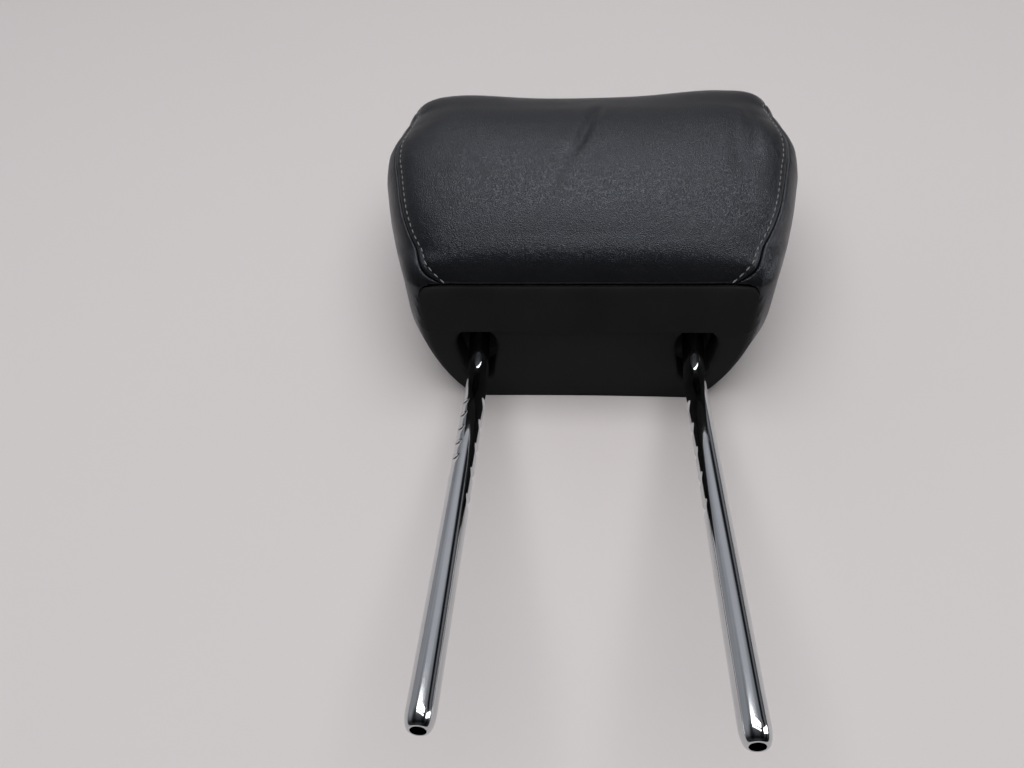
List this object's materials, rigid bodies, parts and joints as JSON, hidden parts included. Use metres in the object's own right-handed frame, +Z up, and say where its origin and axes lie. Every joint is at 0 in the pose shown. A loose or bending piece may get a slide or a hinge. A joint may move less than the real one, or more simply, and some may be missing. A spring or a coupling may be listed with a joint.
{
  "type": "car headrest",
  "caption": "Padded car headrest in black leather that tilts on two bent chrome stays, with a plastic lower trim, lying on its back.",
  "frame": {"origin": "on the surface that it lies on, under the middle of the whole headrest", "axes": "+Z up through the face of the pad, +X across the pad, +Y towards the top of the pad, so the stays point towards -Y"},
  "size_m": [0.2848, 0.4528, 0.1197],
  "materials": {
    "stay_chrome": "bright chrome plate on steel tube",
    "zinc_steel": "zinc plated",
    "spring_steel": "dark spring steel",
    "carrier_plastic": "black moulded nylon",
    "bush_plastic": "natural acetal",
    "pad_foam": "grey moulded foam",
    "trim_plastic": "black, fine matt grain",
    "strip_plastic": "black extruded strip",
    "cover_leather": "black grained leather, semi matt"
  },
  "bodies": {
    "pad": {"rear_carrier": "carrier_plastic", "front_carrier": "carrier_plastic", "pivot_bush_left": "bush_plastic", "pivot_bush_right": "bush_plastic", "saddle_clamp_left": "spring_steel", "saddle_clamp_right": "spring_steel", "carrier_screw_1": "zinc_steel", "carrier_screw_2": "zinc_steel", "carrier_screw_3": "zinc_steel", "carrier_screw_4": "zinc_steel", "clamp_screw_1": "zinc_steel", "clamp_screw_2": "zinc_steel", "clamp_screw_3": "zinc_steel", "clamp_screw_4": "zinc_steel", "foam_core": "pad_foam", "base_trim": "trim_plastic", "front_hook_strip": "strip_plastic", "rear_hook_strip": "strip_plastic", "front_panel": "cover_leather", "rear_panel": "cover_leather", "side_panel_left": "cover_leather", "side_panel_right": "cover_leather"},
    "stays": {"post_tube": "stay_chrome", "stop_collar": "zinc_steel", "locating_ring_left": "spring_steel", "locating_ring_right": "spring_steel"}
  },
  "joints": [
    {"name": "pad_tilt", "type": "hinge", "parent": "pad", "child": "stays", "pos_m": [0, 0.07709, 0.05695], "axis": [-1, 0, 0], "range_deg": [-7, 16]}
  ]
}
